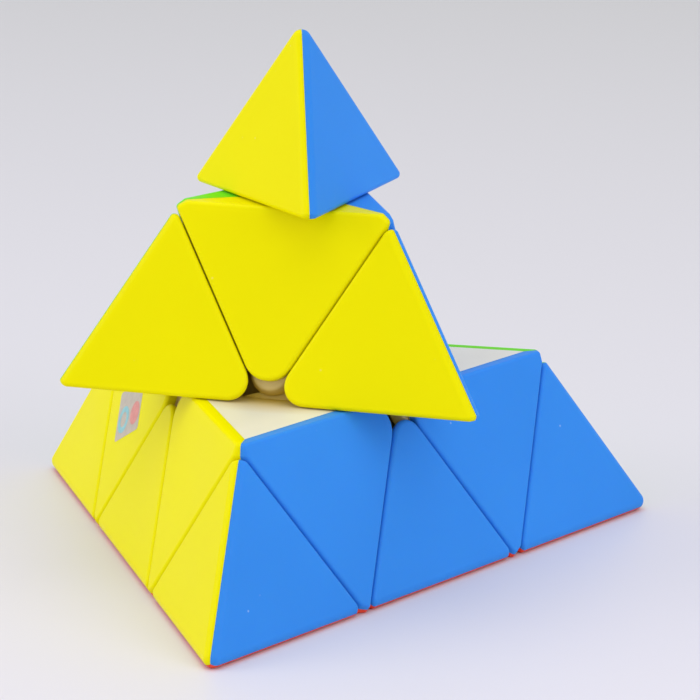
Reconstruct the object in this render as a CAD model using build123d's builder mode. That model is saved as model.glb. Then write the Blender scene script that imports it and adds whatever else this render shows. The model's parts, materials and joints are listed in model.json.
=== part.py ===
from build123d import *
import math
import os

# Pyramid twisty puzzle: four tips, four axial corners and six edge pieces that turn
# about four axes.  The frame's origin is the core's centre, where the axes meet.
# Units are millimetres and degrees.

# ------------------------------------------------------------------ driving sizes
edge_length = 98.0         # outer edge of the sharp tetrahedron
top_layer_angle = 55.9     # how far the top layer stands from the solved state
top_tip_angle = 17.0       # how far the top tip stands from the solved state

seam_gap = 0.15            # air between neighbouring pieces
ridge_radius = 1.4         # rounding where two coloured faces meet
seam_radius = 0.6          # rounding along every seam
inner_edge_radius = 3.2    # rounding of an edge piece's inner edge, seen at a face centre
face_corner_radius = 3.6   # rounding of a corner piece's cap at a face centre
outer_corner_flat = 1.0    # how far a corner piece's three outer points are cut back
edge_nose = 5.5            # how far from a face centre an edge's caps are solid to the inside
corner_nose = 5.0          # from a face centre to the boss under a corner's cap
corner_nose_radius = 3.4   # the boss at the flanges' depth
corner_nose_taper = 25.0
corner_nose_depth = 1.9    # from the face down to the boss's top
cap_thickness = 1.6        # coloured caps
lip_thickness = 1.2        # the caps' sector lips under the tips
body_wall = 1.6            # hollow bodies behind the caps

pit_depth = 3.55           # from a face down to the flanges, at its centre
flange_thickness = 2.6     # the corner pieces' round flanges
foot_thickness = 2.9       # the edge pieces' feet
shell_gap = 0.25           # radial air between the nested shells
foot_cone = 70.0           # half angle of a turning layer inside the feet's shell
neck_cone = 62.0           # half angle of a turning layer inside the flanges' shell
neck_across = 5.5          # half angle of an edge piece's neck, from axis to axis
neck_along = 16.0          # half angle of the neck, from face to face
cone_gap = 0.4             # angle that each side keeps clear of those cones

core_gap = 3.4             # from the core's ball to the feet
arm_radius = 3.2           # the core's four arms
running_clearance = 0.05   # corner hub on arm, tip stem in its socket
hub_wall = 1.2             # the hub tube that runs on the arm
spring_seat = 2.0          # web between the arm's end and the spring
arm_end_gap = 0.5          # air between the arm's end and the web

screw_radius = 1.25
screw_length_in_core = 8.0
screw_head_radius = 3.0
screw_head_height = 2.2
screw_slot = 0.7           # width and depth of the head's cross recess
screw_slot_length = 3.6
screw_clearance = 0.25     # shank in the spring seat's hole
washer_thickness = 0.5
washer_radius = 3.4
spring_wire_radius = 0.35
spring_radius = 2.7        # to the middle of the wire
spring_turns = 4.5
well_radius = 3.9          # the pocket that the screw and the spring sit in

stem_radius = 5.95         # the tip's snap stem
stem_wall = 1.7
stem_rim = 0.6             # how far the snap rim stands out
stem_rim_height = 1.3
socket_plate = 1.3         # the corner body's plate under the sector lips
socket_gap = 0.15          # air around the snap rim, below and above
head_room = 1.0            # from the stem's end to the screw head

# ------------------------------------------------------------------ derived sizes
height = edge_length * math.sqrt(2 / 3)
face_distance = height / 4            # core centre to each coloured face
layer_distance = height / 12          # core centre to each layer's cutting plane
tip_distance = height * 5 / 12        # core centre to each tip's cutting plane
half_gap = seam_gap / 2
oversize = 3 * edge_length            # larger than anything that is cut from it

flange_outer = face_distance - pit_depth
flange_inner = flange_outer - flange_thickness
outer_start = flange_outer + shell_gap
foot_outer = flange_inner - shell_gap
foot_inner = foot_outer - foot_thickness
core_radius = foot_inner - core_gap
axis_angle = math.degrees(math.acos(-1 / 3))
flange_cone = axis_angle - neck_cone - cone_gap
blend = 0.15                          # how far fused shapes of one body run into each other

hub_radius = arm_radius + running_clearance + hub_wall
hub_start = core_radius + shell_gap
web_bottom = flange_inner + arm_end_gap
web_top = web_bottom + spring_seat
arm_end = web_bottom - arm_end_gap
plate_top = tip_distance - half_gap
plate_bottom = plate_top - lip_thickness - socket_plate
rim_top = plate_bottom - socket_gap
stem_end = rim_top - stem_rim_height
head_top = stem_end - head_room
washer_top = head_top - screw_head_height
spring_top = washer_top - washer_thickness
socket_radius = stem_radius + stem_rim + 2 * socket_gap
socket_bottom = stem_end - head_room / 2

# ------------------------------------------------------------------ directions
slope = math.sqrt(8) / 3
directions = {
    "top": Vector(0, 0, 1),
    "front": Vector(0, -slope, -1 / 3),
    "right": Vector(slope * math.cos(math.pi / 6), slope / 2, -1 / 3),
    "left": Vector(-slope * math.cos(math.pi / 6), slope / 2, -1 / 3),
}
# Each coloured face is named by the vertex opposite to it.
face_colours = {"right": "yellow", "left": "blue", "front": "green", "top": "red"}


def others(*names):
    """The vertices that are not named."""
    return [name for name in directions if name not in names]


def pair_plane(first, second):
    """Plane square to one vertex's axis, with its X direction towards another vertex."""
    axis = directions[first]
    return Plane(origin=(0, 0, 0), x_dir=directions[second] + axis * (1 / 3), z_dir=axis)


def axis_plane(name, distance=0.0):
    """Plane square to a vertex's axis, that far from the core's centre."""
    return pair_plane(name, others(name)[0]).offset(distance)


def reverse_plane(name, distance):
    """The same plane with its normal towards the core."""
    return Plane(origin=directions[name] * distance, z_dir=-directions[name])


def face_plane(name, depth=0.0):
    """Coloured face opposite a vertex, or a plane that far below it."""
    return reverse_plane(name, depth - face_distance)


def sector_plane(kept, cut):
    """Plane that bisects two coloured faces; the kept face is on its under side."""
    return Plane(origin=(0, 0, 0), z_dir=(directions[kept] - directions[cut]).normalized())


# ------------------------------------------------------------------ building blocks
def convex_block(planes):
    """The solid on the under side of every plane."""
    with BuildPart() as block:
        Box(oversize, oversize, oversize)
        for plane in planes:
            split(bisect_by=plane, keep=Keep.BOTTOM)
    return block.part


def rod(name, radius, low, high):
    """Round rod along a vertex's axis, between two distances from the core's centre."""
    with BuildPart() as bar:
        with BuildSketch(axis_plane(name, low)):
            Circle(radius)
        extrude(amount=high - low)
    return bar.part


def flange_cap(name, inner, outer, half_angle):
    """Round piece of a spherical shell, centred on a vertex's axis."""
    axis = axis_plane(name)
    start = 90 - half_angle
    edge = Vector(math.cos(math.radians(start)), math.sin(math.radians(start)))
    with BuildPart() as cap:
        with BuildSketch(Plane(origin=(0, 0, 0), x_dir=axis.x_dir, z_dir=-axis.y_dir)):
            with BuildLine():
                Line((0, inner), (0, outer))
                CenterArc((0, 0), outer, start, half_angle)
                Line(edge * outer, edge * inner)
                CenterArc((0, 0), inner, start, half_angle)
            make_face()
        revolve(axis=Axis((0, 0, 0), directions[name]))
    return cap.part


def shell_block(planes, inner, outer):
    """Piece of a spherical shell on the under side of every plane."""
    with BuildPart() as piece:
        add(convex_block(planes))
        add(Sphere(outer, mode=Mode.PRIVATE), mode=Mode.INTERSECT)
        add(Sphere(inner, mode=Mode.PRIVATE), mode=Mode.SUBTRACT)
    return piece.part


def wedge_planes(first, second, across, along):
    """Four planes from the core's centre, about the middle between two axes."""
    middle = (directions[first] + directions[second]).normalized()
    to_first = (directions[first] - directions[second]).normalized()
    to_face = to_first.cross(middle)
    planes = []
    for way, angle in ((to_first, across), (to_face, along)):
        for sign in (1, -1):
            tilt = math.radians(angle)
            normal = way * (sign * math.cos(tilt)) - middle * math.sin(tilt)
            planes.append(Plane(origin=(0, 0, 0), z_dir=normal))
    return planes


def kept_by(part, planes):
    """The part on the under side of every plane."""
    with BuildPart() as kept:
        add(part)
        for plane in planes:
            split(bisect_by=plane, keep=Keep.BOTTOM)
    return kept.part


def edges_along(edges, direction):
    """The straight edges that run along a direction."""
    lines = [edge for edge in edges if edge.geom_type == GeomType.LINE]
    return [line for line in lines if abs(line.tangent_at(0.5).dot(direction)) > 0.999]


# ------------------------------------------------------------------ outer blanks
def tip_blank(name):
    """Tip with its three ridges and its lower edges rounded."""
    planes = [reverse_plane(name, tip_distance + half_gap)]
    planes += [face_plane(face) for face in others(name)]
    base_height = tip_distance + half_gap + seam_radius
    with BuildPart() as blank:
        add(convex_block(planes))
        ridges = [e for e in blank.edges() if e.center().dot(directions[name]) > base_height]
        fillet(ridges, ridge_radius)
        base = blank.faces().sort_by(Axis((0, 0, 0), directions[name]))[0]
        fillet(base.edges(), seam_radius)
    return blank.part


def edge_blank(first, second):
    """Edge piece's outside, with its ridge, inner edge and seams rounded."""
    planes = [reverse_plane(name, layer_distance + half_gap) for name in (first, second)]
    planes += [face_plane(face) for face in others(first, second)]
    ridge_way = (directions[first] - directions[second]).normalized()
    inner_way = ridge_way.cross(directions[first] + directions[second]).normalized()
    with BuildPart() as blank:
        add(convex_block(planes))
        fillet(edges_along(blank.edges(), inner_way), inner_edge_radius)
        fillet(edges_along(blank.edges(), ridge_way), ridge_radius)
        rims = []
        for face in others(first, second):
            out = Axis((0, 0, 0), -directions[face])
            rims += blank.faces().filter_by(GeomType.PLANE).sort_by(out)[-1].edges()
        fillet([e for e in rims if e not in edges_along(rims, ridge_way)], seam_radius)
        add(Sphere(outer_start, mode=Mode.PRIVATE), mode=Mode.SUBTRACT)
    return blank.part


def along_face(direction, face):
    """The way a direction takes along a coloured face."""
    out = -directions[face]
    return (direction - out * direction.dot(out)).normalized()


def face_corner_cutter(name, face):
    """Cuts a corner piece's sharp point at a face's centre to a rounded one."""
    out = -directions[face]
    towards = along_face(directions[name], face)
    plane = Plane(origin=out * face_distance, x_dir=towards.cross(out), z_dir=out)
    centre = seam_gap / slope + 2 * face_corner_radius
    reach = face_corner_radius + 3 * seam_radius
    keep_radius = face_corner_radius + seam_radius * (1 - math.sqrt(1 / 2))
    depth = face_distance / 3
    with BuildPart() as keep:
        with BuildSketch(plane.offset(-2 * depth)):
            with Locations((0, centre)):
                Circle(keep_radius)
        extrude(amount=2 * depth)
        fillet(keep.faces().sort_by(Axis((0, 0, 0), out))[-1].edges(), seam_radius)
    with BuildPart() as cutter:
        with BuildSketch(plane.offset(-depth)):
            with BuildLine():
                side = reach * math.cos(math.pi / 6)
                Polyline(
                    (0, centre),
                    (side, centre - reach / 2),
                    (0, centre - 2 * reach),
                    (-side, centre - reach / 2),
                    close=True,
                )
            make_face()
        extrude(amount=depth + seam_radius)
        add(keep.part, mode=Mode.SUBTRACT)
    return cutter.part


def corner_blank(name):
    """Axial corner's outside: an octahedron with rounded seams and rounded face corners."""
    planes = [axis_plane(name, plate_top), reverse_plane(name, layer_distance + half_gap)]
    planes += [face_plane(face) for face in others(name)]
    planes += [axis_plane(near, layer_distance - half_gap) for near in others(name)]
    for near in others(name):
        point = directions[name] * 2 + directions[near]
        distance = point.length * height / 4 - outer_corner_flat
        planes.append(Plane(origin=point.normalized() * distance, z_dir=point.normalized()))
    with BuildPart() as block:
        add(convex_block(planes))
        fillet(block.edges(), seam_radius)
        for face in others(name):
            add(face_corner_cutter(name, face), mode=Mode.SUBTRACT)
    return block.part


# ------------------------------------------------------------------ pieces
def nose_plane(middle, face, distance):
    """Plane across a piece, that far from the face's centre along the piece's middle."""
    towards = along_face(middle, face)
    return Plane(origin=towards * distance, z_dir=-towards)


def corner_boss(name, face):
    """Tapered boss of a corner's body, which shows under its cap at a face's centre."""
    out = -directions[face]
    centre = out * flange_outer + along_face(directions[name], face) * corner_nose
    with BuildPart() as boss:
        with BuildSketch(Plane(origin=centre, z_dir=out)):
            Circle(corner_nose_radius)
        extrude(amount=pit_depth - corner_nose_depth, taper=corner_nose_taper)
        fillet(boss.faces().sort_by(Axis((0, 0, 0), out))[-1].edges(), seam_radius)
    return boss.part


def piece_caps(blank, core_block, faces):
    """Coloured caps of a piece, split along the bisectors of its faces."""
    caps = {}
    for face in faces:
        sectors = [sector_plane(face, other) for other in faces if other != face]
        with BuildPart() as cap:
            add(kept_by(blank, sectors))
            add(core_block, mode=Mode.SUBTRACT)
        caps[face] = cap.part
    return caps


def make_tip(name):
    """Tip: a base with its snap stem, and three caps."""
    blank = tip_blank(name)
    faces = others(name)
    core_block = convex_block([face_plane(face, cap_thickness) for face in faces])
    with BuildPart() as base:
        add(blank)
        add(core_block, mode=Mode.INTERSECT)
        add(rod(name, stem_radius, stem_end, tip_distance + half_gap))
        add(rod(name, stem_radius + stem_rim, stem_end, rim_top))
        add(rod(name, stem_radius - stem_wall, stem_end - blend, tip_distance), mode=Mode.SUBTRACT)
    return base.part, piece_caps(blank, core_block, faces)


def make_corner(name):
    """Axial corner: a hollow body with its hub and flange, and three lipped caps."""
    blank = corner_blank(name)
    faces = others(name)
    core_planes = [face_plane(face, cap_thickness) for face in faces]
    core_planes.append(axis_plane(name, plate_top - lip_thickness))
    core_block = convex_block(core_planes)
    tube_radius = socket_radius + body_wall
    hollow_planes = [
        axis_plane(name, plate_bottom),
        reverse_plane(name, layer_distance + half_gap + body_wall),
    ]
    hollow_planes += [axis_plane(near, layer_distance - half_gap - body_wall) for near in faces]
    nose_wall = face_corner_radius + body_wall
    hollow_planes += [nose_plane(directions[name], face, nose_wall) for face in faces]
    with BuildPart() as hollow:
        add(convex_block(hollow_planes))
        add(Sphere(outer_start + body_wall, mode=Mode.PRIVATE), mode=Mode.SUBTRACT)
        add(rod(name, tube_radius, 0, tip_distance), mode=Mode.SUBTRACT)
    with BuildPart() as collar:
        add(blank)
        add(flange_cap(name, flange_inner, outer_start + blend, flange_cone - 1), mode=Mode.INTERSECT)
    with BuildPart() as body:
        add(blank)
        add(core_block, mode=Mode.INTERSECT)
        for face in faces:
            add(corner_boss(name, face))
        add(Sphere(outer_start, mode=Mode.PRIVATE), mode=Mode.SUBTRACT)
        add(hollow.part, mode=Mode.SUBTRACT)
        add(collar.part)
        add(flange_cap(name, flange_inner, flange_outer, flange_cone))
        add(rod(name, hub_radius, hub_start, web_top))
        add(rod(name, arm_radius + running_clearance, hub_start - blend, web_bottom), mode=Mode.SUBTRACT)
        add(rod(name, screw_radius + screw_clearance, web_bottom - blend, web_top), mode=Mode.SUBTRACT)
        add(rod(name, well_radius, web_top, socket_bottom), mode=Mode.SUBTRACT)
        add(rod(name, socket_radius, socket_bottom, plate_bottom), mode=Mode.SUBTRACT)
        hole = rod(name, stem_radius + running_clearance, plate_bottom - blend, tip_distance)
        add(hole, mode=Mode.SUBTRACT)
    with BuildPart() as cap_blank:
        add(blank)
        add(Sphere(outer_start, mode=Mode.PRIVATE), mode=Mode.SUBTRACT)
        add(hole, mode=Mode.SUBTRACT)
    return body.part, piece_caps(cap_blank.part, core_block, faces)


def make_edge(first, second):
    """Edge piece: a hollow body with its neck and foot, and two caps."""
    blank = edge_blank(first, second)
    faces = others(first, second)
    core_planes = [face_plane(face, cap_thickness) for face in faces]
    middle = directions[first] + directions[second]
    core_planes += [nose_plane(middle, face, edge_nose) for face in faces]
    core_block = convex_block(core_planes)
    wall_distance = layer_distance + half_gap + body_wall
    foot_distance = foot_outer * math.cos(math.radians(foot_cone - cone_gap))
    foot_planes = [reverse_plane(name, foot_distance) for name in (first, second)]
    with BuildPart() as hollow:
        add(convex_block([reverse_plane(name, wall_distance) for name in (first, second)]))
        add(Sphere(outer_start + body_wall, mode=Mode.PRIVATE), mode=Mode.SUBTRACT)
    with BuildPart() as body:
        add(blank)
        add(core_block, mode=Mode.INTERSECT)
        add(hollow.part, mode=Mode.SUBTRACT)
        neck_planes = wedge_planes(first, second, neck_across, neck_along)
        add(shell_block(neck_planes, foot_outer - blend, outer_start + blend))
        add(shell_block(foot_planes, foot_inner, foot_outer))
    return body.part, piece_caps(blank, core_block, faces)


# ------------------------------------------------------------------ inside pieces
def make_core():
    """Ball with four arms, each bored for its screw."""
    with BuildPart() as core:
        Sphere(core_radius)
        for name in directions:
            add(rod(name, arm_radius, 0, arm_end))
        for name in directions:
            add(rod(name, screw_radius, arm_end - screw_length_in_core, arm_end), mode=Mode.SUBTRACT)
    return core.part


def make_screw(name):
    """Pan-head screw with a cross recess."""
    head_plane = axis_plane(name, head_top - screw_slot)
    with BuildPart() as screw:
        add(rod(name, screw_radius, arm_end - screw_length_in_core, washer_top))
        add(rod(name, screw_head_radius, washer_top, head_top))
        with BuildSketch(head_plane):
            Rectangle(screw_slot_length, screw_slot)
            Rectangle(screw_slot, screw_slot_length)
        extrude(amount=2 * screw_slot, mode=Mode.SUBTRACT)
    return screw.part


def make_washer(name):
    """Flat washer between spring and screw head."""
    with BuildPart() as washer:
        with BuildSketch(axis_plane(name, spring_top)):
            Circle(washer_radius)
            Circle(screw_radius + screw_clearance / 2, mode=Mode.SUBTRACT)
        extrude(amount=washer_thickness)
    return washer.part


def make_spring(name):
    """Open coil spring between the web and the washer."""
    low = web_top + spring_wire_radius
    rise = spring_top - spring_wire_radius - low
    with BuildPart() as spring:
        with BuildLine():
            path = Helix(rise / spring_turns, rise, spring_radius)
        with BuildSketch(Plane(origin=path @ 0, z_dir=path % 0)):
            Circle(spring_wire_radius)
        sweep(path=path, is_frenet=True)
    return axis_plane(name, low).location * spring.part


# ------------------------------------------------------------------ assembly
def carried(first, second):
    """The turn that takes the top and front vertices to these two, and where each vertex goes."""
    turn = pair_plane(first, second).location * pair_plane("top", "front").location.inverse()
    goes_to = {}
    for name, direction in directions.items():
        moved = (turn * Pos(*direction)).position
        goes_to[name] = min(directions, key=lambda other: (directions[other] - moved).length)
    return turn, goes_to


def write(part, node):
    """Labels a finished piece and writes its file."""
    part.label = node
    export_step(part, f"parts/{node}.step")


def write_piece(piece, place, stem, base_name, layer_turn):
    """Carries a piece to its place, turns its layer and writes its base and caps."""
    base, caps = piece
    turn, goes_to = carried(*place)
    turn = Rot(Z=layer_turn) * turn
    write(turn * base, f"{stem}_{base_name}")
    for face, cap in caps.items():
        write(turn * cap, f"{stem}_{face_colours[goes_to[face]]}_cap")


def write_on_axes(solid, node):
    """Writes one solid on each of the four axes, as one node of separate solids."""
    places = [carried(name, others(name)[0])[0] for name in directions]
    write(Compound(children=[place * solid for place in places]), node)


os.makedirs("parts", exist_ok=True)

tip = make_tip("top")
corner = make_corner("top")
edge = make_edge("top", "front")

for vertex in directions:
    on_top = vertex == "top"
    place = (vertex, others(vertex)[0])
    write_piece(tip, place, f"{vertex}_tip", "base", top_tip_angle if on_top else 0)
    write_piece(corner, place, f"{vertex}_corner", "body", top_layer_angle if on_top else 0)

edge_pairs = [
    ("top", "front"),
    ("top", "right"),
    ("top", "left"),
    ("front", "right"),
    ("right", "left"),
    ("left", "front"),
]
for pair in edge_pairs:
    in_top_layer = "top" in pair
    stem = "_".join(pair) + "_edge"
    write_piece(edge, pair, stem, "body", top_layer_angle if in_top_layer else 0)

write(make_core(), "core")
write_on_axes(make_screw("top"), "core_screws")
write_on_axes(make_washer("top"), "core_washers")
write_on_axes(make_spring("top"), "core_springs")
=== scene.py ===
"""Pyramid twisty puzzle: looks, floor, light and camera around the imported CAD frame.

All lengths are metres in the frame's own axes: the origin is the core's centre, +Z up."""

import json
import math

import bpy
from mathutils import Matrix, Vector


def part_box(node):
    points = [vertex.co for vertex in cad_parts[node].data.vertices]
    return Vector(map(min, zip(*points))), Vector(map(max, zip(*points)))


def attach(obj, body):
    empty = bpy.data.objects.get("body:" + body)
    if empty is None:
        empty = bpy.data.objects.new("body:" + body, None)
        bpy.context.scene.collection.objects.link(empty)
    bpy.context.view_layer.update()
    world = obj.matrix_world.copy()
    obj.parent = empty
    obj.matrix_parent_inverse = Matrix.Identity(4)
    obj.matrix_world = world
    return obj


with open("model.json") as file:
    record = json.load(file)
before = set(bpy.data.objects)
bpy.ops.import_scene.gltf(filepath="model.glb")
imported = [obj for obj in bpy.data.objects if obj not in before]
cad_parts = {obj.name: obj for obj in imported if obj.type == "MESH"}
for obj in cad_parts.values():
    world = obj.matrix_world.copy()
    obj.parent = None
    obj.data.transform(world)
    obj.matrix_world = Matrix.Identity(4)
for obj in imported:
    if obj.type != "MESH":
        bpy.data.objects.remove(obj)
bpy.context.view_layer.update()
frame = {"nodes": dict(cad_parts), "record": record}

MM = 0.001

# ------------------------------------------------------------------ the puzzle's geometry
BASE_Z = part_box("front_tip_red_cap")[0].z      # the plane that the puzzle stands on
REACH = math.sqrt(8) / 3                       # horizontal part of a lower tip's unit axis
DROP = -1 / 3                                  # and its vertical part
RIGHT_AXIS = Vector((REACH * math.cos(math.pi / 6), REACH / 2, DROP))
LEFT_AXIS = Vector((-REACH * math.cos(math.pi / 6), REACH / 2, DROP))

# ------------------------------------------------------------------ the view
VIEW_AZIMUTH = math.radians(12.645)
VIEW_ELEVATION = math.radians(15.972)
VIEW_DISTANCE = 525.42 * MM
AIM_RIGHT = 6.913 * MM         # the view's centre, beside the turning axis
AIM_UP = 29.733 * MM           # and above the base
LENS = 185.08                  # millimetres, as is the sensor's width
SENSOR = 36.0
CLIP_START = 10 * MM
CLIP_END = 20.0

# ------------------------------------------------------------------ colours (linear)
YELLOW = (0.825, 0.755, 0.000)
BLUE = (0.040, 0.257, 0.775)
GREEN = (0.150, 0.700, 0.012)
RED = (0.920, 0.085, 0.045)
PALE = (0.760, 0.735, 0.640)
PIT_SHADE_TINT = (0.620, 0.440, 0.060)     # painted shade and yellow bounce light on the mouldings near the core, deep in the pits
STEEL = (0.560, 0.570, 0.580)
PANEL_GREY = (0.510, 0.450, 0.370)
PRINT_CYAN = (0.260, 0.545, 0.580)
PRINT_PINK = (0.680, 0.260, 0.230)
DUST = (0.860, 0.880, 0.920)
# painted light falloff on the floor: the lit near colour and the shaded far colour
FLOOR_LIT_NEAR = (0.785, 0.762, 0.825)
FLOOR_SHADED_FAR = (0.595, 0.592, 0.586)
FLOOR_MOTTLE = (0.600, 0.600, 0.640)
SKY = (0.930, 0.935, 1.000)

# ------------------------------------------------------------------ plastics
SHELL_IOR = 1.50
GLOSS = 0.05                   # specular level of the coloured shells
SCATTER_WEIGHT = 0.30          # share of the light that goes through the coloured plastic
SCATTER_DEPTH = 1.6 * MM
PIT_SHADE_FULL_RADIUS = 16.9 * MM       # from the core's centre: the full painted pit shade ends
PIT_SHADE_END_RADIUS = 23.0 * MM       # and the pale colour is full

# ------------------------------------------------------------------ textures
# Scales are in features per metre. A band is the part of a noise value that is spread over its whole effect.
NOISE_ROUGHNESS = 0.55         # how strong each finer octave of a noise is
WIDE_BAND = (0.30, 0.70)
MIDDLE_BAND = (0.35, 0.65)
SHELL_DRIFT = 28.0             # slow change of the shells' colour
SHELL_POLISH = 45.0            # and of their roughness
SHELL_WAVES = 75.0             # sink and flow of the moulding
SHELL_GRAIN = 5200.0           # fine grain of the mould
SPECKS = 420.0                 # cells that can each hold a dust speck
SPECK_EDGE = (0.03, 0.09)      # distance from a cell's middle at which a speck fades
SPECK_PLACES = 150.0           # noise that picks the few cells with a speck
SPECK_BAND = (0.66, 0.70)
HAIR_STRETCHES = (             # two directions of scratches: scale along each axis, turn, band
    ((2600.0, 110.0, 900.0), (0.3, 0.5, 0.9), (0.66, 0.74)),
    ((120.0, 2300.0, 700.0), (0.9, 0.2, 0.4), (0.67, 0.75)),
)
WEAR_PATCHES = 60.0            # noise that keeps the scratches in patches
WEAR_BAND = (0.50, 0.66)
WEAR_ROUGHNESS = 0.16          # added where a scratch is
SHELL_ROUGHNESS = (0.30, 0.38)
PALE_DRIFT = 60.0
PALE_POLISH = 90.0
PALE_WAVES = 120.0
PALE_GRAIN = 4200.0
PALE_ROUGHNESS = (0.40, 0.52)
STEEL_DRIFT = 500.0
STEEL_POLISH = 900.0
STEEL_GRAIN = 6000.0
STEEL_ROUGHNESS = (0.22, 0.40)
INK_DRIFT = 900.0
INK_POLISH = 1500.0
INK_GRAIN = 5000.0
INK_ROUGHNESS = (0.42, 0.55)
FLOOR_CLOUDS = 9.0             # faint uneven patches
FLOOR_GRAIN = 700.0
FLOOR_ROUGHNESS = 0.5
MOTTLE_SHARE = (0.0, 0.035)

# ------------------------------------------------------------------ printed mark's sizes
MARK_ALONG = 19.2 * MM         # from the face's centre towards the left tip
PANEL_HALF_ALONG = 4.7 * MM
PANEL_HALF_ACROSS = 3.9 * MM
PANEL_ROUNDING = 0.5 * MM
SHAPES_ACROSS = 0.9 * MM       # the ring and the dot, towards the base
RING_ALONG = 21.3 * MM
RING_RADIUS = 2.1 * MM
RING_LINE = 0.9 * MM
DOT_ALONG = 16.7 * MM
DOT_RADIUS = 1.8 * MM
PRINT_PROUD = 0.02 * MM        # thickness of each layer of print
PRINT_SINK = 0.03 * MM         # how far the print's underside is below the face
OUTLINE_STEPS = 48

# ------------------------------------------------------------------ surroundings' sizes
SKY_STRENGTH = 0.72
FLOOR_HALF = 3.0
FLOOR_LIGHT_FALLOFF = (-0.15, 0.45)     # painted light falloff from the near colour to the far colour, along the frame's Y


# ------------------------------------------------------------------ node helpers
class Shader:
    """A material under construction: its tree, its Principled node and short helpers."""

    def __init__(self, name):
        self.material = bpy.data.materials.new(name)
        self.material.use_nodes = True
        self.nodes = self.material.node_tree.nodes
        self.links = self.material.node_tree.links
        self.surface = self.nodes["Principled BSDF"]
        self.place = self.nodes.new("ShaderNodeTexCoord").outputs["Object"]

    def node(self, kind, inputs=None, **settings):
        """A node with its settings, and its inputs linked or given a value."""
        made = self.nodes.new(kind)
        for key, value in settings.items():
            setattr(made, key, value)
        for key, value in (inputs or {}).items():
            self.put(made, key, value)
        return made

    def put(self, node, key, value):
        """Links an input to an output, or sets its value."""
        if isinstance(value, bpy.types.NodeSocket):
            self.links.new(value, node.inputs[key])
        else:
            node.inputs[key].default_value = value

    def noise(self, scale, detail=3.0, place=None):
        """Noise value in the object's own space; the scale is in features per metre."""
        inputs = {
            "Vector": place or self.place,
            "Scale": scale,
            "Detail": detail,
            "Roughness": NOISE_ROUGHNESS,
        }
        return self.node("ShaderNodeTexNoise", inputs).outputs["Fac"]

    def spread(self, value, band, to=(0.0, 1.0)):
        """Maps one range of a value to another, clamped."""
        inputs = {"Value": value, "From Min": band[0], "From Max": band[1], "To Min": to[0], "To Max": to[1]}
        return self.node("ShaderNodeMapRange", inputs).outputs["Result"]

    def mix(self, amount, first, second):
        """Mixes two colours."""
        mixer = self.node("ShaderNodeMix", data_type="RGBA")
        for key, value in (("Factor_Float", amount), ("A_Color", first), ("B_Color", second)):
            self.put(mixer, self.input_index(mixer, key), value)
        return next(out for out in mixer.outputs if out.identifier == "Result_Color")

    @staticmethod
    def input_index(node, identifier):
        """Place of the input with this identifier, since several share one name."""
        return [socket.identifier for socket in node.inputs].index(identifier)

    def drift(self, scale, colour, darkest, lightest, detail=3.0, band=MIDDLE_BAND):
        """A colour that varies slowly between a darker and a lighter shade of itself."""
        amount = self.spread(self.noise(scale, detail), band)
        return self.mix(amount, rgba(scaled(colour, darkest)), rgba(scaled(colour, lightest)))

    def math(self, operation, first, second):
        """One arithmetic step."""
        return self.node("ShaderNodeMath", {0: first, 1: second}, operation=operation).outputs[0]

    def stretched(self, scale, turn):
        """The object's coordinates, turned and scaled differently along each axis."""
        inputs = {"Vector": self.place, "Rotation": turn, "Scale": scale}
        return self.node("ShaderNodeMapping", inputs).outputs["Vector"]

    def bump(self, height, strength, distance, below=None):
        """Adds a bump layer, on top of another if one is given."""
        inputs = {"Height": height, "Strength": strength, "Distance": distance}
        made = self.node("ShaderNodeBump", inputs)
        if below:
            self.put(made, "Normal", below)
        return made.outputs["Normal"]

    def set(self, **values):
        """Sets or links the Principled node's inputs."""
        for key, value in values.items():
            self.put(self.surface, key.replace("_", " "), value)


def rgba(colour):
    """The colour with full alpha."""
    return (*colour, 1.0)


def scaled(colour, factor):
    """The colour made lighter or darker."""
    return tuple(min(1.0, part * factor) for part in colour)


# ------------------------------------------------------------------ materials
def coloured_plastic(name, colour, depth, speck, scatter):
    """Satin moulded shell: slow colour drift, fine grain, handling scratches and dust specks."""
    s = Shader(name)
    body = s.drift(SHELL_DRIFT, colour, darkest=1 - depth, lightest=1 + depth, detail=2.0)

    specks = s.node("ShaderNodeTexVoronoi", {"Vector": s.place, "Scale": SPECKS, "Randomness": 1.0})
    speck_core = s.spread(specks.outputs["Distance"], SPECK_EDGE, to=(1.0, 0.0))
    chosen = s.spread(s.noise(SPECK_PLACES, detail=0.0), SPECK_BAND)
    dust = s.math("MULTIPLY", speck_core, chosen)
    s.set(Base_Color=s.mix(s.math("MULTIPLY", dust, speck), body, rgba(DUST)))

    hairs = []
    for stretch, turn, band in HAIR_STRETCHES:
        hairs.append(s.spread(s.noise(1.0, detail=4.0, place=s.stretched(stretch, turn)), band))
    patches = s.spread(s.noise(WEAR_PATCHES, detail=2.0), WEAR_BAND)
    wear = s.math("MULTIPLY", s.math("MAXIMUM", *hairs), patches)

    polish = s.spread(s.noise(SHELL_POLISH), WIDE_BAND, to=SHELL_ROUGHNESS)
    s.set(Roughness=s.math("ADD", polish, s.math("MULTIPLY", wear, WEAR_ROUGHNESS)))
    relief = s.bump(s.noise(SHELL_WAVES, detail=1.0), strength=0.10, distance=0.30 * MM)
    relief = s.bump(s.noise(SHELL_GRAIN, detail=2.0), strength=0.05, distance=0.04 * MM, below=relief)
    relief = s.bump(s.math("ADD", wear, dust), strength=0.10, distance=0.05 * MM, below=relief)
    s.set(Normal=relief)
    s.surface.inputs["IOR"].default_value = SHELL_IOR
    s.surface.inputs["Specular IOR Level"].default_value = GLOSS
    s.surface.inputs["Subsurface Weight"].default_value = SCATTER_WEIGHT
    s.surface.inputs["Subsurface Radius"].default_value = scatter
    s.surface.inputs["Subsurface Scale"].default_value = SCATTER_DEPTH
    return s.material


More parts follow.
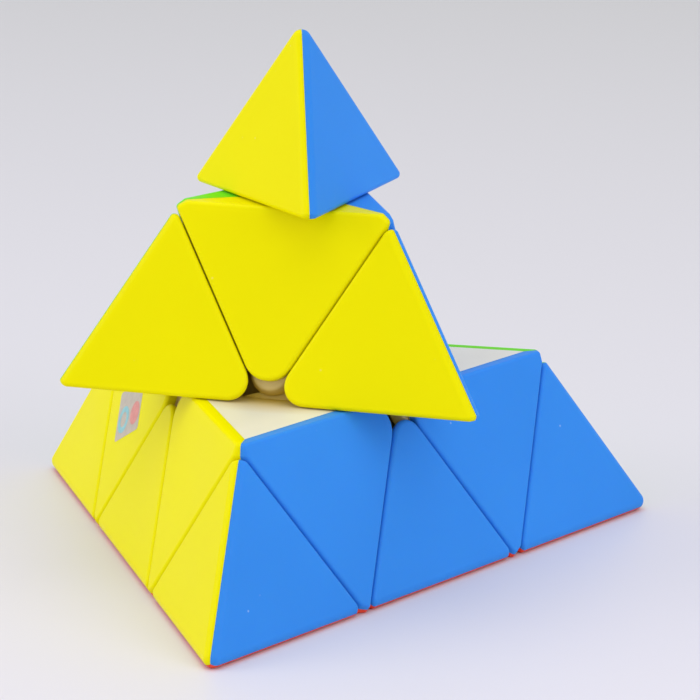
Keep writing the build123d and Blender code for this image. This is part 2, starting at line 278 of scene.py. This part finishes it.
def pale_plastic():
    """Off-white inner mouldings: finely matt, with painted shade and yellow bounce light as a warm tan
    towards the core.
    """
    s = Shader("pale_plastic")
    pale = s.drift(PALE_DRIFT, PALE, darkest=0.95, lightest=1.03)
    distance = s.node("ShaderNodeVectorMath", {0: s.place}, operation="LENGTH").outputs["Value"]
    # painted pit shade: full tan inside the inner radius, fading to the pale colour by the outer radius
    out_of_pit_shade = s.spread(distance, (PIT_SHADE_FULL_RADIUS, PIT_SHADE_END_RADIUS))
    s.set(Base_Color=s.mix(out_of_pit_shade, rgba(PIT_SHADE_TINT), pale))
    s.set(Roughness=s.spread(s.noise(PALE_POLISH), WIDE_BAND, to=PALE_ROUGHNESS))
    relief = s.bump(s.noise(PALE_GRAIN, detail=2.0), strength=0.08, distance=0.04 * MM)
    relief = s.bump(s.noise(PALE_WAVES, detail=1.0), strength=0.08, distance=0.20 * MM, below=relief)
    s.set(Normal=relief)
    return s.material


def plain_steel():
    """Drawn and turned steel of the screws, washers and springs."""
    s = Shader("plain_steel")
    s.set(Base_Color=s.drift(STEEL_DRIFT, STEEL, darkest=0.85, lightest=1.08, band=WIDE_BAND))
    s.set(Roughness=s.spread(s.noise(STEEL_POLISH), WIDE_BAND, to=STEEL_ROUGHNESS))
    s.set(Normal=s.bump(s.noise(STEEL_GRAIN), strength=0.08, distance=0.03 * MM))
    s.surface.inputs["Metallic"].default_value = 1.0
    return s.material


def printed_ink(name, colour):
    """One colour of the printed mark, slightly uneven like pad printing."""
    s = Shader(name)
    s.set(Base_Color=s.drift(INK_DRIFT, colour, darkest=0.92, lightest=1.06))
    s.set(Roughness=s.spread(s.noise(INK_POLISH), WIDE_BAND, to=INK_ROUGHNESS))
    s.set(Normal=s.bump(s.noise(INK_GRAIN), strength=0.10, distance=0.03 * MM))
    return s.material


def floor_material():
    """Matt pale table top with painted light falloff: it turns greyer away from the viewer."""
    s = Shader("pale_floor")
    split = s.node("ShaderNodeSeparateXYZ", {"Vector": s.place})
    # painted light falloff: lighter near the viewer, greyer away from it
    light_falloff = s.spread(split.outputs["Y"], FLOOR_LIGHT_FALLOFF)
    base = s.mix(light_falloff, rgba(FLOOR_LIT_NEAR), rgba(FLOOR_SHADED_FAR))
    mottle = s.spread(s.noise(FLOOR_CLOUDS, detail=2.0), WIDE_BAND, to=MOTTLE_SHARE)
    s.set(Base_Color=s.mix(mottle, base, rgba(FLOOR_MOTTLE)))
    s.set(Roughness=FLOOR_ROUGHNESS)
    s.set(Normal=s.bump(s.noise(FLOOR_GRAIN), strength=0.03, distance=0.10 * MM))
    return s.material


def slot_materials():
    """The material of each slot in the record. Scatter is how far red, green and blue light spread."""
    return {
        "yellow_shell": coloured_plastic(
            "yellow_plastic", YELLOW, depth=0.012, speck=0.15, scatter=(1.0, 0.85, 0.05)),
        "blue_shell": coloured_plastic(
            "blue_plastic", BLUE, depth=0.030, speck=0.30, scatter=(0.10, 0.40, 1.0)),
        "green_shell": coloured_plastic(
            "green_plastic", GREEN, depth=0.025, speck=0.25, scatter=(0.20, 1.0, 0.10)),
        "red_shell": coloured_plastic(
            "red_plastic", RED, depth=0.025, speck=0.25, scatter=(1.0, 0.10, 0.08)),
        "pale_body": pale_plastic(),
        "steel": plain_steel(),
    }


def dress_nodes():
    """Every CAD node gets the material of its slot."""
    materials = slot_materials()
    for part in frame["record"]["subparts"]:
        mesh = frame["nodes"][part["node"]].data
        mesh.materials.clear()
        mesh.materials.append(materials[part["material_slot"]])


# ------------------------------------------------------------------ printed mark
def circle_outline(radius):
    """Points round a circle, about the origin."""
    turns = [math.tau * step / OUTLINE_STEPS for step in range(OUTLINE_STEPS)]
    return [Vector((math.cos(turn), math.sin(turn))) * radius for turn in turns]


def rectangle_outline(half_x, half_y, rounding):
    """Points round a rectangle with rounded corners, about the origin."""
    points = []
    for point in circle_outline(rounding):
        shift_x = math.copysign(half_x - rounding, point.x)
        shift_y = math.copysign(half_y - rounding, point.y)
        points.append(point + Vector((shift_x, shift_y)))
    return points


def print_layer(name, place, outer, inner, lift, material):
    """Thin layer of ink on the left corner piece's yellow cap, with a hole if inner is given."""
    out = -RIGHT_AXIS
    along = (LEFT_AXIS - out * LEFT_AXIS.dot(out)).normalized()
    across = out.cross(along)
    centre = out * -BASE_Z + along * place[0] + across * place[1]
    count = len(outer)
    rings = [outer, inner] if inner else [outer]
    verts = []
    for height in (-PRINT_SINK, lift):
        for ring in rings:
            verts += [centre + out * height + along * point.x + across * point.y for point in ring]
    top = len(rings) * count
    faces = []
    for i in range(count):
        j = (i + 1) % count
        faces.append((i, j, top + j, top + i))
        if inner:
            faces.append((count + j, count + i, top + count + i, top + count + j))
            faces.append((top + i, top + j, top + count + j, top + count + i))
            faces.append((j, i, count + i, count + j))
    if not inner:
        faces.append(tuple(range(top, top + count)))
        faces.append(tuple(reversed(range(count))))
    mesh = bpy.data.meshes.new(name)
    mesh.from_pydata(verts, [], faces)
    mesh.materials.append(material)
    layer = bpy.data.objects.new(name, mesh)
    bpy.context.scene.collection.objects.link(layer)
    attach(layer, "core_frame")


def build_mark():
    """Plain printed panel with a ring and a dot."""
    panel = rectangle_outline(PANEL_HALF_ALONG, PANEL_HALF_ACROSS, PANEL_ROUNDING)
    ring = circle_outline(RING_RADIUS)
    ring_hole = circle_outline(RING_RADIUS - RING_LINE)
    dot = circle_outline(DOT_RADIUS)
    over_panel = 2 * PRINT_PROUD
    grey = printed_ink("panel_ink", PANEL_GREY)
    print_layer("printed_panel", (MARK_ALONG, 0), panel, None, PRINT_PROUD, grey)
    cyan = printed_ink("cyan_ink", PRINT_CYAN)
    print_layer("printed_ring", (RING_ALONG, SHAPES_ACROSS), ring, ring_hole, over_panel, cyan)
    pink = printed_ink("pink_ink", PRINT_PINK)
    print_layer("printed_dot", (DOT_ALONG, SHAPES_ACROSS), dot, None, over_panel, pink)


# ------------------------------------------------------------------ surroundings
def area_light(name, place, aim, side, power, colour):
    """Soft square light that points at a place; the power is in watts."""
    data = bpy.data.lights.new(name, "AREA")
    data.shape = "RECTANGLE"
    data.size = side
    data.size_y = side
    data.energy = power
    data.color = colour
    lamp = bpy.data.objects.new(name, data)
    lamp.location = place
    lamp.rotation_euler = (Vector(aim) - Vector(place)).to_track_quat("-Z", "Y").to_euler()
    bpy.context.scene.collection.objects.link(lamp)


def build_world():
    """Even pale surroundings."""
    world = bpy.data.worlds.new("pale_world")
    world.use_nodes = True
    sky = world.node_tree.nodes["Background"]
    sky.inputs["Color"].default_value = rgba(SKY)
    sky.inputs["Strength"].default_value = SKY_STRENGTH
    bpy.context.scene.world = world


def build_floor():
    """One large pale plane under the puzzle."""
    half = FLOOR_HALF
    corners = [(-half, -half, BASE_Z), (half, -half, BASE_Z), (half, half, BASE_Z), (-half, half, BASE_Z)]
    mesh = bpy.data.meshes.new("floor")
    mesh.from_pydata(corners, [], [(0, 1, 2, 3)])
    mesh.materials.append(floor_material())
    floor = bpy.data.objects.new("floor", mesh)
    bpy.context.scene.collection.objects.link(floor)


def build_camera():
    """Camera on the photograph's line of sight."""
    back = Vector((
        math.sin(VIEW_AZIMUTH) * math.cos(VIEW_ELEVATION),
        -math.cos(VIEW_AZIMUTH) * math.cos(VIEW_ELEVATION),
        math.sin(VIEW_ELEVATION),
    ))
    right = Vector((math.cos(VIEW_AZIMUTH), math.sin(VIEW_AZIMUTH), 0))
    data = bpy.data.cameras.new("camera")
    data.sensor_width = SENSOR
    data.lens = LENS
    data.clip_start = CLIP_START
    data.clip_end = CLIP_END
    data.dof.use_dof = False
    camera = bpy.data.objects.new("camera", data)
    camera.location = right * AIM_RIGHT + Vector((0, 0, BASE_Z + AIM_UP)) + back * VIEW_DISTANCE
    camera.rotation_euler = back.to_track_quat("Z", "Y").to_euler()
    bpy.context.scene.collection.objects.link(camera)
    bpy.context.scene.camera = camera


def build_lights():
    """A wide soft light overhead, and two large soft fills from the sides."""
    core = (0, 0, 0)
    middle = (0, 0, 20 * MM)
    area_light("overhead", (0.0, -0.15, 1.3), core, side=1.6, power=7.1, colour=(1.0, 0.99, 0.97))
    area_light("left_fill", (-1.42, -0.45, 0.50), middle, side=1.0, power=7.5, colour=(1.0, 0.99, 0.98))
    area_light("right_fill", (1.35, -0.70, 0.60), middle, side=1.0, power=6.6, colour=(0.98, 0.99, 1.0))


bpy.context.scene.view_settings.view_transform = "Standard"
dress_nodes()
build_mark()
build_world()
build_floor()
build_lights()
build_camera()
